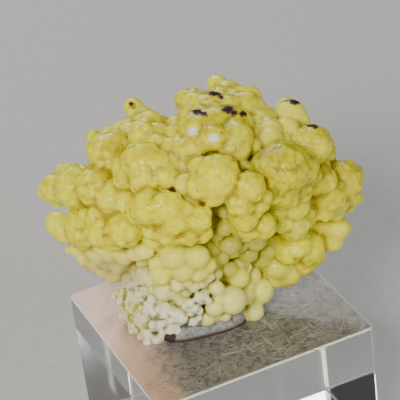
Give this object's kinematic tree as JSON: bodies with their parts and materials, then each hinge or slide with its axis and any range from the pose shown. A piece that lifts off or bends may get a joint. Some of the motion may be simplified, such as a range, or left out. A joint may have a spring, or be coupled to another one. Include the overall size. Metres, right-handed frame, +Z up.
{
  "type": "mineral specimen",
  "caption": "Knobbly yellow hyalite opal cluster with a white sugary root, on a slip of grey matrix and a clear acrylic block.",
  "frame": {"origin": "centre of the acrylic block's underside", "axes": "+Z up, +X along the block's width, -Y towards the block's front face; the cluster's best side faces -Y turned 21 degrees towards -X"},
  "size_m": [0.0485, 0.0418, 0.0635],
  "materials": {
    "yellow_opal": "waxy",
    "grey_matrix": "matte",
    "clear_acrylic": "clear polished"
  },
  "bodies": {
    "root": {"opal_cluster": "yellow_opal", "matrix_slip": "grey_matrix", "acrylic_block": "clear_acrylic"}
  },
  "joints": []
}
